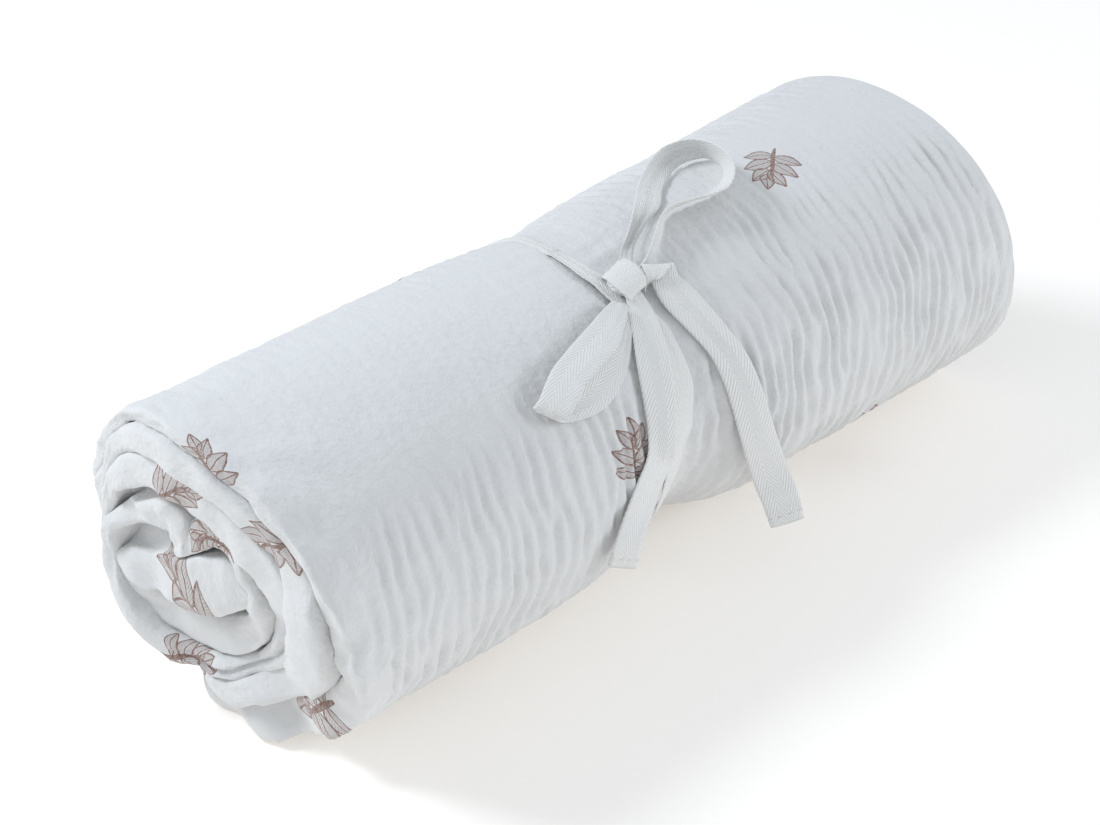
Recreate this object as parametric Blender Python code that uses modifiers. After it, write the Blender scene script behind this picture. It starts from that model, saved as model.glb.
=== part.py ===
# A swaddle blanket, folded into a strip, rolled up and tied with a tape.
# X runs along the roll, with the open end that the photo shows at -X. The photo's viewer
# stands on the -Y side. Z is up and the floor is at Z = 0. Metres, and degrees for angles.
import math

import bmesh
import bpy
from mathutils import Vector

MM = 0.001

# The strip: a 1.2 m square folded twice, to four plies 0.3 m wide
STRIP_THICKNESS = 0.0088
TURN_GAP = 0.0005
OUTER_END_THICKNESS = 0.0040
OUTER_LIP = {"winding": -1.6, "fullness": 0.4}

# The roll
ROLL_RADIUS = 0.0596
AXIS_HEIGHT = 0.0580
FLARE = {"start": 0.058, "slope": 0.027}
TUCK = {"depth": 0.0040, "start": -0.060, "length": 0.090, "direction": 135.0}
OUTER_END_ANGLE = 236.0
DROP_START = 325.0
TAPER_ANGLE = 60.0
FORMULA_END = 1130.0
CORE_RADIUS = 0.0314
CORE_OFFSET = 0.0120

# The two ends: where the middle of each lies, and how the rolling leaned them
NEAR_END = {"middle": -0.1625, "lean_back": -0.080, "lean_up": -0.102}
FAR_END = {"middle": 0.1385, "lean_back": -0.150, "lean_up": -0.110}
END_ROUNDING = 0.0050

# How far each turn stands out at the near end, in mm, at eight directions in winding order
DIRECTIONS = ("back", "top back", "top", "top front", "front", "bottom front", "bottom", "bottom back")
FIRST_DIRECTION = 34.0
REACH = (
    (0, -3, 0, 0, 0, -4, 8, 0),
    (5, 1, 4, 1.5, 0, 0, 12, 5),
    (10, 4, 3, 1.5, -1, 0, 8, 13),
    (8, 3, 3, 3, 0, 0, 4, 7),
)

# The folds of the core, in mm across the roll from its axis: back is +Y, up is +Z.
# A row is one section through the strip: its outer face, its inner face, how far it stands out
CORE_FOLDS = (
    {"fold": "hook", "outer": (35.5, 19.0), "inner": (31.5, 12.5), "reach": 3},
    {"fold": "hook", "outer": (28.5, 25.3), "inner": (27.0, 17.2), "reach": 3},
    {"fold": "hook", "outer": (20.5, 28.3), "inner": (22.2, 18.9), "reach": 3},
    {"fold": "hook", "outer": (12.5, 28.8), "inner": (19.2, 18.3), "reach": 3},
    {"fold": "hook", "outer": (8.2, 24.8), "inner": (18.4, 15.5), "reach": 3},
    {"fold": "hook", "outer": (8.4, 19.2), "inner": (17.8, 12.6), "reach": 3},
    {"fold": "hook tip", "outer": (9.6, 16.2), "inner": (16.6, 10.0), "reach": 3},
    {"fold": "hook tip", "outer": (9.3, 16.0), "inner": (14.2, 9.4), "reach": 3},
    {"fold": "petal", "outer": (8.6, 16.8), "inner": (10.2, 10.4), "reach": 2.5},
    {"fold": "petal", "outer": (7.2, 19.6), "inner": (6.0, 12.6), "reach": 2},
    {"fold": "petal", "outer": (4.8, 25.0), "inner": (1.5, 15.8), "reach": 1.5},
    {"fold": "petal", "outer": (-1.5, 27.6), "inner": (-2.5, 18.2), "reach": 1},
    {"fold": "side", "outer": (-8.3, 23.8), "inner": (-6.3, 17.0), "reach": 0.5},
    {"fold": "side", "outer": (-14.3, 17.2), "inner": (-9.8, 12.0), "reach": 0},
    {"fold": "side", "outer": (-18.2, 8.8), "inner": (-11.2, 6.2), "reach": -0.5},
    {"fold": "side", "outer": (-19.6, 0.0), "inner": (-10.8, -0.6), "reach": -1},
    {"fold": "side", "outer": (-18.6, -8.0), "inner": (-8.8, -6.6), "reach": -0.5},
    {"fold": "side", "outer": (-15.0, -16.4), "inner": (-5.4, -11.0), "reach": 0},
    {"fold": "bottom", "outer": (-8.8, -23.6), "inner": (-0.6, -13.8), "reach": 1},
    {"fold": "bottom", "outer": (0.2, -29.0), "inner": (5.0, -15.2), "reach": 3},
    {"fold": "bottom", "outer": (12.0, -31.2), "inner": (12.4, -14.6), "reach": 4},
    {"fold": "bottom", "outer": (22.5, -29.2), "inner": (20.0, -15.0), "reach": 5.5},
    {"fold": "bottom", "outer": (31.5, -24.2), "inner": (26.4, -15.2), "reach": 7},
    {"fold": "back turn", "outer": (37.4, -17.6), "inner": (29.6, -14.2), "reach": 8},
    {"fold": "back turn", "outer": (40.4, -11.0), "inner": (29.0, -12.8), "reach": 8.5},
    {"fold": "back turn", "outer": (40.0, -4.5), "inner": (26.8, -12.0), "reach": 8.5},
    {"fold": "pillow", "outer": (35.5, -0.5), "inner": (23.5, -11.8), "reach": 7},
    {"fold": "pillow", "outer": (27.0, 3.0), "inner": (17.5, -11.8), "reach": 6},
    {"fold": "pillow", "outer": (18.0, 6.6), "inner": (10.5, -11.2), "reach": 5},
    {"fold": "pillow", "outer": (9.0, 8.4), "inner": (4.4, -10.4), "reach": 4.5},
    {"fold": "pillow", "outer": (1.0, 11.2), "inner": (-1.2, -8.4), "reach": 4},
    {"fold": "pillow", "outer": (-4.5, 11.6), "inner": (-5.2, -4.4), "reach": 4},
    {"fold": "pillow", "outer": (-7.6, 8.6), "inner": (-7.4, 1.0), "reach": 3.5},
)

# The waist that the tape draws in: a wide shallow part, a narrow part deepest below in front,
# and the tape's own bite
WAIST_X = -0.0140
WAIST_WIDE = {"depth": 0.0022, "spread": 0.055}
WAIST_BITE = {"depth": 0.0014, "spread": 0.009}
WAIST_NARROW = {"least": 0.0010, "most": 0.0090, "spread": 0.020, "least_at": -38.0}

# The crinkles of the gauze: ribs round the roll
RIB_PITCH = 0.0058
RIB_DEPTH = 0.0010
RIB_WAVE = 0.0012
RIB_NEAR = -0.1400
RIB_FAR = 0.1200
RIB_FADE = 0.0250
FLAT_HALF_ANGLE = 24.0

# How finely the roll is cut into sections
OUTER_STEP = 10.0
INNER_STEP = 16.0
PLAIN_STATIONS = (-0.060, -0.014, 0.032)
ROUNDING_ANGLES = (20, 52, 90)
ROUNDING_CLEARANCE = 1.5

# The tape: one length, 12 mm wide, tied in a bow
TAPE_THICKNESS = 0.0010
BAND_HEIGHT = 0.0009
BAND_STEPS = 4
# The band round the waist, in degrees and mm: bunched narrow over the top, flat elsewhere
BAND = (
    {"angle": 20, "x": -18, "width": 10},
    {"angle": 60, "x": -16, "width": 12},
    {"angle": 100, "x": -17, "width": 12},
    {"angle": 140, "x": -17, "width": 12},
    {"angle": 180, "x": -16, "width": 12},
    {"angle": 220, "x": -15, "width": 12},
    {"angle": 260, "x": -15, "width": 12},
    {"angle": 300, "x": -16, "width": 11},
    {"angle": 335, "x": -19, "width": 7},
    {"angle": 365, "x": -22, "width": 6},
)
KNOT = {"x": -0.0130, "angle": 24.0, "height": 0.0036, "size": (0.0105, 0.0125, 0.0068), "turn": -14.0}
# The loops and tails. A row is a section across the tape, with each edge as
# (x in mm, degrees from the top towards the front, height over the cloth in mm)
UPPER_LOOP = (
    {"left": (-14, 20, 4.0), "right": (-8, 19, 4.0)},
    {"left": (-4, 9, 4.5), "right": (5, 10, 2.5)},
    {"left": (5, 3, 5.0), "right": (13, 8, 1.6)},
    {"left": (16, -3, 5.2), "right": (22, 3, 1.5)},
    {"left": (28, -9, 5.8), "right": (31, -3, 1.2)},
    {"left": (40, -13, 6.0), "right": (43, -10, 1.2)},
    {"left": (47, -8, 7.5), "right": (52, -12, 1.2)},
    {"left": (49, 1, 9.0), "right": (52, -5, 1.2)},
    {"left": (47, 8, 10.0), "right": (49, 1, 1.2)},
    {"left": (44, 13, 10.5), "right": (45, 6, 1.2)},
    {"left": (35, 16, 10.5), "right": (38, 9, 1.2)},
    {"left": (24, 16, 10.5), "right": (30, 9, 1.2)},
    {"left": (16, 14, 10.5), "right": (22, 9, 1.2)},
    {"left": (8, 14, 10.0), "right": (13, 11, 1.4)},
    {"left": (0, 18, 8.5), "right": (3, 15, 1.6)},
    {"left": (-6, 21, 5.5), "right": (-5, 20, 2.4)},
)
LOWER_LOOP = (
    {"left": (-16, 23, 4.0), "right": (-15, 27, 4.2)},
    {"left": (-24, 26, 4.4), "right": (-21, 31, 5.0)},
    {"left": (-37, 30, 5.0), "right": (-29, 36, 6.0)},
    {"left": (-51, 35, 6.0), "right": (-42, 42, 8.0)},
    {"left": (-62, 38, 7.0), "right": (-53, 46, 9.0)},
    {"left": (-70, 42, 6.5), "right": (-61, 49, 8.5)},
    {"left": (-75, 46, 4.0), "right": (-66, 53, 6.5)},
    {"left": (-75, 50, 1.6), "right": (-65, 56, 2.8)},
    {"left": (-69, 52, 1.0), "right": (-58, 57, 1.2)},
    {"left": (-60, 49, 1.0), "right": (-50, 56, 1.0)},
    {"left": (-49, 43, 1.0), "right": (-41, 51, 1.0)},
    {"left": (-39, 38, 1.0), "right": (-32, 46, 1.2)},
    {"left": (-26, 31, 2.2), "right": (-22, 37, 2.6)},
    {"left": (-16, 25, 2.6), "right": (-15, 28, 3.0)},
)
CENTRE_TAIL = (
    {"left": (-19, 29, 3.4), "right": (-12, 31, 3.4)},
    {"left": (-25, 37, 2.6), "right": (-16, 41, 2.8)},
    {"left": (-28, 47, 2.2), "right": (-17, 52, 2.5)},
    {"left": (-31, 58, 2.0), "right": (-20, 62, 2.5)},
    {"left": (-34, 68, 1.8), "right": (-23, 72, 2.4)},
    {"left": (-37, 78, 1.6), "right": (-26, 82, 2.4)},
    {"left": (-40, 87, 1.4), "right": (-30, 92, 2.6)},
    {"left": (-45, 97, 1.4), "right": (-35, 103, 3.6)},
    {"left": (-49, 105, 1.4), "right": (-40, 111, 4.6)},
    {"left": (-52, 112, 1.6), "right": (-43, 118, 6.0)},
)
FRONT_TAIL = (
    {"left": (-12, 28, 2.2), "right": (-7, 24, 3.0)},
    {"left": (-7, 34, 1.6), "right": (2, 31, 1.6)},
    {"left": (-6, 45, 1.0), "right": (5, 41, 1.0)},
    {"left": (-4, 55, 1.0), "right": (8, 51, 1.0)},
    {"left": (-1, 65, 1.0), "right": (11, 61, 1.0)},
    {"left": (2, 77, 1.0), "right": (14, 73, 1.0)},
    {"left": (6, 91, 1.2), "right": (18, 88, 1.6)},
    {"left": (13, 114, 4.8), "right": (24, 110, 8.2)},
    {"left": (19, 125, 11.0), "right": (29, 120, 14.6)},
    {"left": (24, 134, 18.0), "right": (33, 128, 21.5)},
)


def smooth(value):
    """A step from 0 to 1 with soft ends."""
    value = min(1.0, max(0.0, value))
    return value * value * (3 - 2 * value)


def bell(distance, spread):
    return math.exp(-((distance / spread) ** 2))


def towards(angle, direction):
    """1 where an angle points in a direction, falling to 0 opposite it."""
    return 0.5 + 0.5 * math.cos(math.radians(angle - direction))


def on_roll(x, angle, radius):
    """A point round the roll's axis. The angle runs from the top (+Z) to the front (-Y)."""
    turned = math.radians(angle)
    return Vector((x, -radius * math.sin(turned), radius * math.cos(turned)))


def pinch(x, angle):
    """How far the tape draws the cloth in at a place on the roll's surface."""
    depth = WAIST_NARROW["most"] - WAIST_NARROW["least"]
    narrow = WAIST_NARROW["least"] + depth * (1 - towards(angle, WAIST_NARROW["least_at"]))
    wide = WAIST_WIDE["depth"] * bell(x - WAIST_X, WAIST_WIDE["spread"])
    bite = WAIST_BITE["depth"] * bell(x - WAIST_X, WAIST_BITE["spread"])
    return wide + bite + narrow * bell(x - WAIST_X, WAIST_NARROW["spread"])


def cloth_radius(x, angle):
    """The distance from the axis to the outside of the roll."""
    flare = FLARE["slope"] * max(0.0, x - FLARE["start"])
    tuck = TUCK["depth"] * smooth((TUCK["start"] - x) / TUCK["length"])
    tuck *= towards(angle, TUCK["direction"]) ** 4
    return ROLL_RADIUS + flare - tuck - pinch(x, angle)


def drawn_in(x, back, up):
    """A point of the plain spiral, moved to where the waist and the floor put it."""
    radius = math.hypot(back, up)
    angle = math.degrees(math.atan2(-back, up))
    point = on_roll(x, angle, radius * cloth_radius(x, angle) / ROLL_RADIUS)
    point.z = max(point.z, -AXIS_HEIGHT)
    return point


def turn_thickness(winding):
    """The strip's thickness, which tapers at its outer end."""
    growth = STRIP_THICKNESS - OUTER_END_THICKNESS
    return OUTER_END_THICKNESS + growth * smooth(winding / TAPER_ANGLE)


def turn_radius(winding):
    """The radius of the strip's outer face, each turn lying inside the one before."""
    if winding < 360:
        drop = smooth((winding - DROP_START) / (360 - DROP_START))
        return ROLL_RADIUS - (OUTER_END_THICKNESS + TURN_GAP) * drop
    return turn_radius(winding - 360) - turn_thickness(winding - 360) - TURN_GAP


def across(angle, radius):
    """Back and up of a point on a turn. The inner turns lie further back than the roll's axis."""
    offset = CORE_OFFSET * (ROLL_RADIUS - radius) / (ROLL_RADIUS - CORE_RADIUS)
    turned = math.radians(angle)
    return offset - radius * math.sin(turned), radius * math.cos(turned)


def reach_of(winding):
    """How far the strip stands out of the near end at a place along its winding."""
    values = [value * MM for turn in REACH for value in turn]
    place = max(0.0, (winding - FIRST_DIRECTION) * len(DIRECTIONS) / 360)
    before = min(int(place), len(values) - 2)
    share = smooth(place - before)
    return values[before] * (1 - share) + values[before + 1] * share


def end_of(end, place, reach):
    """Where the strip's edge lies along the roll at one of the two ends."""
    back, up = place
    return end["middle"] + end["lean_back"] * back + end["lean_up"] * up - reach


def spiral_sections():
    """Sections through the strip, from its outer end to its inner end."""
    sections = []

    def add_turn(winding, fullness, outside):
        angle = OUTER_END_ANGLE + winding
        inside = max(winding, 0.0)
        outer_radius = turn_radius(inside)
        thin = turn_thickness(inside) * (1 - fullness) / 2
        outer = across(angle, outer_radius - thin)
        sections.append(
            {
                "outer": outer,
                "inner": across(angle, outer_radius - turn_thickness(inside) + thin),
                "near": end_of(NEAR_END, outer, reach_of(inside)),
                "far": end_of(FAR_END, outer, reach_of(inside)),
                "outside": outside,
            }
        )

    add_turn(OUTER_LIP["winding"], OUTER_LIP["fullness"], True)
    winding = 0.0
    while winding < FORMULA_END:
        add_turn(winding, 1.0, winding < 360)
        winding += OUTER_STEP if winding < 360 else INNER_STEP
    for row in CORE_FOLDS:
        outer = [value * MM for value in row["outer"]]
        inner = [value * MM for value in row["inner"]]
        reach = row["reach"] * MM
        sections.append(
            {
                "outer": outer,
                "inner": inner,
                "near": end_of(NEAR_END, outer, reach),
                "far": end_of(FAR_END, outer, reach),
                "outside": False,
            }
        )
    return sections


def rib_depth(x, angle, row):
    """How deep the groove between two ribs is. Ribs fade at the ends and where the roll rests."""
    if row % 2 == 0:
        return 0.0
    ends = smooth((x - RIB_NEAR) / RIB_FADE) * smooth((RIB_FAR - x) / RIB_FADE)
    from_floor = abs(angle % 360 - 180)
    return RIB_DEPTH * ends * smooth((from_floor - FLAT_HALF_ANGLE) / FLAT_HALF_ANGLE)


def chain(bm, section, side):
    """The vertices along the roll at one face of one section, from the near end to the far end."""
    here = Vector(section[side])
    middle = (Vector(section["outer"]) + Vector(section["inner"])) / 2
    rounding = min((here - middle).length, END_ROUNDING)
    near, far = section["near"], section["far"]
    ends = []
    for step in ROUNDING_ANGLES:
        turned = math.radians(step)
        back, up = middle + (here - middle) * math.sin(turned)
        ends.append((rounding * (1 - math.cos(turned)), back, up))
    points = [(near + inset, back, up) for inset, back, up in ends]
    first, last = near + ROUNDING_CLEARANCE * rounding, far - ROUNDING_CLEARANCE * rounding
    back, up = here
    if side == "outer" and section["outside"]:
        radius, angle = here.length, math.degrees(math.atan2(-back, up))
        wave = RIB_WAVE * math.sin(math.radians(3 * angle))
        for row in range(int((RIB_FAR - RIB_NEAR) / RIB_PITCH * 2) + 1):
            x = RIB_NEAR + row * RIB_PITCH / 2 + wave
            if first < x < last:
                grooved = 1 - rib_depth(x, angle, row) / radius
                points.append((x, back * grooved, up * grooved))
    else:
        points += [(x, back, up) for x in PLAIN_STATIONS if first < x < last]
    points += [(far - inset, back, up) for inset, back, up in reversed(ends)]
    return [bm.verts.new(drawn_in(*point)) for point in points]


def zip_chains(bm, left, right):
    """Fills the strip between two chains that may have different numbers of vertices."""
    a = b = 0
    while a < len(left) - 1 or b < len(right) - 1:
        step_left = b == len(right) - 1 or (
            a < len(left) - 1 and left[a + 1].co.x <= right[b + 1].co.x
        )
        if step_left:
            bm.faces.new((left[a], left[a + 1], right[b]))
            a += 1
        else:
            bm.faces.new((left[a], right[b + 1], right[b]))
            b += 1


def make_blanket():
    """The rolled strip, as one closed solid."""
    bm = bmesh.new()
    sections = spiral_sections()
    outer = [chain(bm, section, "outer") for section in sections]
    inner = [chain(bm, section, "inner") for section in sections]
    loop = outer + inner[::-1]
    for left, right in zip(loop, loop[1:] + loop[:1]):
        zip_chains(bm, left, right)
    for end in (0, -1):
        for i in range(len(sections) - 1):
            bm.faces.new((outer[i][end], outer[i + 1][end], inner[i + 1][end], inner[i][end]))
    bmesh.ops.recalc_face_normals(bm, faces=bm.faces)
    return new_object("blanket", bm, material("gauze", (0.84, 0.86, 0.87), 0.92))


def edge_points(rows, side):
    """One edge of the tape, as a smooth line through its rows."""
    knots = []
    for row in rows:
        x, angle, height = row[side]
        x *= MM
        knots.append(on_roll(x, angle, cloth_radius(x, angle) + height * MM))
    knots = [2 * knots[0] - knots[1]] + knots + [2 * knots[-1] - knots[-2]]
    points = []
    for p0, p1, p2, p3 in zip(knots, knots[1:], knots[2:], knots[3:]):
        middle = (9 * (p1 + p2) - p0 - p3) / 16
        points += [p1, middle]
    return points + [knots[-2]]


def tape_length(name, left, right, closed=False):
    """A length of tape between two edges, as a closed solid."""
    bm = bmesh.new()
    count = len(left)
    rings = []
    for i in range(count):
        before, after = (i - 1) % count, (i + 1) % count
        if not closed:
            before, after = max(i - 1, 0), min(i + 1, count - 1)
        along = (left[after] + right[after]) - (left[before] + right[before])
        lift = along.cross(right[i] - left[i]).normalized() * (TAPE_THICKNESS / 2)
        corners = (left[i] + lift, right[i] + lift, right[i] - lift, left[i] - lift)
        rings.append([bm.verts.new(corner) for corner in corners])
    pairs = list(zip(rings, rings[1:]))
    if closed:
        pairs.append((rings[-1], rings[0]))
    for ring, following in pairs:
        for k in range(4):
            bm.faces.new((ring[k], ring[(k + 1) % 4], following[(k + 1) % 4], following[k]))
    if not closed:
        bm.faces.new(rings[0])
        bm.faces.new(rings[-1])
    bmesh.ops.recalc_face_normals(bm, faces=bm.faces)
    return new_object(name, bm, material("twill", (0.87, 0.87, 0.86), 0.85))


def tape_band():
    """The tape round the waist."""
    edges = {-1: [], 1: []}
    for row, following in zip(BAND, BAND[1:] + BAND[:1]):
        for step in range(BAND_STEPS):
            share = smooth(step / BAND_STEPS)
            angle = row["angle"] + (following["angle"] - row["angle"]) % 360 * step / BAND_STEPS
            middle = row["x"] * (1 - share) + following["x"] * share
            width = row["width"] * (1 - share) + following["width"] * share
            for side, points in edges.items():
                x = (middle + side * width / 2) * MM
                points.append(on_roll(x, angle, cloth_radius(x, angle) + BAND_HEIGHT))
    return tape_length("tie_tape", edges[-1], edges[1], closed=True)


def tape_knot():
    """The knot, a soft lump that the loops and tails come out of."""
    bm = bmesh.new()
    bmesh.ops.create_cube(bm, size=1.0)
    length, width, height = KNOT["size"]
    place = on_roll(KNOT["x"], KNOT["angle"], cloth_radius(KNOT["x"], KNOT["angle"]) + KNOT["height"])
    up = on_roll(0, KNOT["angle"], 1)
    twist = math.radians(KNOT["turn"])
    round_roll = Vector((1, 0, 0)).cross(up)
    first = Vector((1, 0, 0)) * math.cos(twist) + round_roll * math.sin(twist)
    second = up.cross(first)
    for vert in bm.verts:
        x, y, z = vert.co
        vert.co = place + first * (x * length) + second * (y * width) + up * (z * height)
    knot = new_object("knot", bm, material("twill", (0.87, 0.87, 0.86), 0.85))
    rounded = knot.modifiers.new("Rounded", "SUBSURF")
    rounded.levels = rounded.render_levels = 2
    return knot


def make_tape():
    """The tied tape: band, knot, two loops and two tails joined into one solid."""
    tape = tape_band()
    pieces = [tape_knot()]
    lengths = {
        "upper_loop": UPPER_LOOP,
        "lower_loop": LOWER_LOOP,
        "centre_tail": CENTRE_TAIL,
        "front_tail": FRONT_TAIL,
    }
    for name, rows in lengths.items():
        pieces.append(tape_length(name, edge_points(rows, "left"), edge_points(rows, "right")))
    for piece in pieces:
        joined = tape.modifiers.new(piece.name, "BOOLEAN")
        joined.operation = "UNION"
        joined.object = piece
        joined.solver = "EXACT"
        as_helper(piece)
    return tape


def material(name, color, roughness):
    """A plain cloth material, made once."""
    found = bpy.data.materials.get(name)
    if found:
        return found
    made = bpy.data.materials.new(name)
    made.use_nodes = True
    surface = made.node_tree.nodes["Principled BSDF"]
    surface.inputs["Base Color"].default_value = (*color, 1)
    surface.inputs["Roughness"].default_value = roughness
    surface.inputs["Metallic"].default_value = 0
    made.diffuse_color = (*color, 1)
    return made


def new_object(name, bm, surface):
    mesh = bpy.data.meshes.new(name)
    bm.to_mesh(mesh)
    bm.free()
    mesh.materials.append(surface)
    made = bpy.data.objects.new(name, mesh)
    collection("swaddle_blanket").objects.link(made)
    return made


def collection(name):
    found = bpy.data.collections.get(name)
    if not found:
        found = bpy.data.collections.new(name)
        bpy.context.scene.collection.children.link(found)
    return found


def as_helper(piece):
    """Moves a piece that only a Boolean reads out of the object's own collection."""
    collection("swaddle_blanket").objects.unlink(piece)
    collection("joined_pieces").objects.link(piece)
    piece.hide_render = True
    piece.hide_viewport = True


def stand_on_origin():
    """Puts the origin under the middle of the whole object's box, on the floor."""
    points = [vert.co for made in bpy.data.objects for vert in made.data.vertices]
    middle = [(min(p[k] for p in points) + max(p[k] for p in points)) / 2 for k in range(2)]
    for made in bpy.data.objects:
        for vert in made.data.vertices:
            vert.co.x -= middle[0]
            vert.co.y -= middle[1]
            vert.co.z += AXIS_HEIGHT
    print("axis of the roll, from the origin:", [round(-value, 5) for value in middle], AXIS_HEIGHT)


for old in list(bpy.data.objects):
    bpy.data.objects.remove(old, do_unlink=True)
make_blanket()
make_tape()
stand_on_origin()
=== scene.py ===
# A swaddle blanket of crinkled gauze, folded to a strip, rolled up and tied with a twill tape.
# X runs along the roll, with the open end that the photo shows at -X. Metres, and Z is up.
import math
import random
from functools import partial

import bmesh
import bpy
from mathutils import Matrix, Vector, noise


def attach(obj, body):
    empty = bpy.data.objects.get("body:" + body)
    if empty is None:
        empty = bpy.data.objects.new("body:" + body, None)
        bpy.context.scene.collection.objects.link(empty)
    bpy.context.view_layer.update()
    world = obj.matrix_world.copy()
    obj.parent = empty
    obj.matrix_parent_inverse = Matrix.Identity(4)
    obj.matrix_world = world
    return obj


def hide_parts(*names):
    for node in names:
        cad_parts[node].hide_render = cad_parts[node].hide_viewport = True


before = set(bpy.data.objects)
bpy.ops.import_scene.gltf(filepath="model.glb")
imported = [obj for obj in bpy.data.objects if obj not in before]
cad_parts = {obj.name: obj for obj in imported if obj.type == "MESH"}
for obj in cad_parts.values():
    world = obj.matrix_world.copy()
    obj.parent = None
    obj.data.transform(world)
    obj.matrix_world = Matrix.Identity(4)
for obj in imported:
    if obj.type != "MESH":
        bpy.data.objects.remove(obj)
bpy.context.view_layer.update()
mm = 0.001

view = {
    "lens": 65.45,
    "shift": (-0.0553, -0.0405),
    "looking": (0.581, 0.584, -0.567),
    "distance": 0.6867,
    "nearest": 0.01,
}
studio = {
    "key": {"place": (-0.55, 0.54, 0.74), "size": 0.32, "power": 5.8, "tint": (0.87, 0.93, 1.0)},
    "fill": {"place": (0.85, -0.95, 0.45), "size": 0.6, "power": 4.4, "tint": (0.90, 0.94, 1.0)},
    "sky": (0.86, 0.925, 1.0, 1),
    "skyPower": 0.645,
    "floorReach": 3.0,
}
floorFinish = {
    "Base Color": (0.98, 0.94, 0.89, 1),
    "Roughness": 0.9,
    "Emission Color": (0.98, 0.94, 0.89, 1),
    "Emission Strength": 0.20,  # the floor is a light table
}

rollAxis = Vector((0.01168, 0.00111, 0.058))  # the middle of the roll, from the origin


def addObject(name, data):
    made = bpy.data.objects.new(name, data)
    bpy.context.scene.collection.objects.link(made)
    return made


def newMaterial(name, values):  # the values of the shader's own sockets
    made = bpy.data.materials.new(name)
    made.use_nodes = True
    surface = made.node_tree.nodes["Principled BSDF"]
    for socket, value in values.items():
        surface.inputs[socket].default_value = value
    return made, made.node_tree, surface


def addCamera():
    looking = Vector(view["looking"]).normalized()
    made = addObject("camera", bpy.data.cameras.new("camera"))
    made.data.lens = view["lens"]
    made.data.shift_x, made.data.shift_y = view["shift"]
    made.data.clip_start = view["nearest"]
    made.location = rollAxis - looking * view["distance"]
    made.rotation_euler = looking.to_track_quat("-Z", "Y").to_euler()
    bpy.context.scene.camera = made


def addLight(name, place, size, power, tint):  # its place is from the middle of the roll
    lamp = bpy.data.lights.new(name, "AREA")
    lamp.shape = "DISK"
    lamp.size = size
    lamp.energy = power
    lamp.color = tint
    made = addObject(name, lamp)
    made.location = rollAxis + Vector(place)
    made.rotation_euler = (-Vector(place)).to_track_quat("-Z", "Y").to_euler()


def addStudio():
    for name in ("key", "fill"):
        addLight(name, **studio[name])
    world = bpy.data.worlds.new("studio")
    world.use_nodes = True
    bpy.context.scene.world = world
    sky = world.node_tree.nodes["Background"]
    sky.inputs["Color"].default_value = studio["sky"]
    sky.inputs["Strength"].default_value = studio["skyPower"]
    bpy.context.scene.view_settings.view_transform = "Standard"
    reach = studio["floorReach"]
    corners = [(-reach, -reach, 0), (reach, -reach, 0), (reach, reach, 0), (-reach, reach, 0)]
    ground = bpy.data.meshes.new("floor")
    ground.from_pydata(corners, [], [(0, 1, 2, 3)])
    floor = addObject("floor", ground)
    floor.data.materials.append(newMaterial("floorPaint", floorFinish)[0])


addCamera()
addStudio()
print("camera, light and floor")

# The same sizes as the CAD roll: the fine turns and crinkles come on top of them
roll = {
    "thickness": 8.8 * mm,
    "turnGap": 0.5 * mm,
    "outerEndThickness": 4.0 * mm,
    "radius": 59.6 * mm,
    "axisHeight": 58.0 * mm,
    "flareStart": 58 * mm,
    "flareSlope": 0.027,
    "tuckDepth": 4.0 * mm,
    "tuckStart": -60 * mm,
    "tuckLength": 90 * mm,
    "tuckDirection": 135.0,
    "tuckFocus": 4,
    "outerEndAngle": 236.0,
    "dropStart": 325.0,
    "taperAngle": 60.0,
    "spiralEnd": 1130.0,
    "coreRadius": 31.4 * mm,
    "coreOffset": 12.0 * mm,
}
nearEnd = {"middle": -162.5 * mm, "leanBack": -0.080, "leanUp": -0.102}
farEnd = {"middle": 138.5 * mm, "leanBack": -0.150, "leanUp": -0.110}

# How far the strip stands out at the near end: degrees of winding, mm
reachAlong = (
    (0, 0), (34, 0), (79, -3), (124, 0), (214, 0), (245, -3), (262, 1), (281, -2), (289, 6), (296, 8),
    (303, 2), (312, 4), (320, 5), (332, -6), (345, -11), (368, -9), (398, 2), (439, 1), (484, 4),
    (529, 1.5), (546, 0.5), (552, 4), (600, 4), (615, 1), (650, 8), (664, 10), (676, 6), (692, -5),
    (709, -10), (728, -9), (758, 5), (799, 4), (844, 3), (889, 1.5), (934, -1), (979, 0), (1024, 8),
    (1069, 14), (1114, 9), (1159, 3),
)
# How far the groove inside each turn leaves the plain spiral at the near end: degrees, mm outwards
grooveAlong = (
    (60, 0), (90, 3.3), (135, 4.5), (180, 4.5), (200, 2.5), (225, 1), (245, -2.5), (265, -5),
    (280, -5.5), (295, -4.5), (325, -2), (350, 0), (420, 0), (450, 2.8), (495, 2.6), (540, 3.5),
    (562, 0.5), (585, -3.5), (605, -3.5), (630, -5), (660, -3), (690, 0), (830, 0), (855, -1.5),
    (900, -3), (950, -2.8), (975, -1), (990, 0),
)
# How far the inner ply sags behind the near end, and how deep a crease runs along the fold there
sagAlong = ((770, 0), (800, 3.5), (840, 4), (880, 2), (905, 0))
creaseAlong = ((130, 0), (170, 0.6), (220, 0.4), (240, 0), (925, 0), (950, 2.2), (1020, 2.0), (1050, 0))

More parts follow.
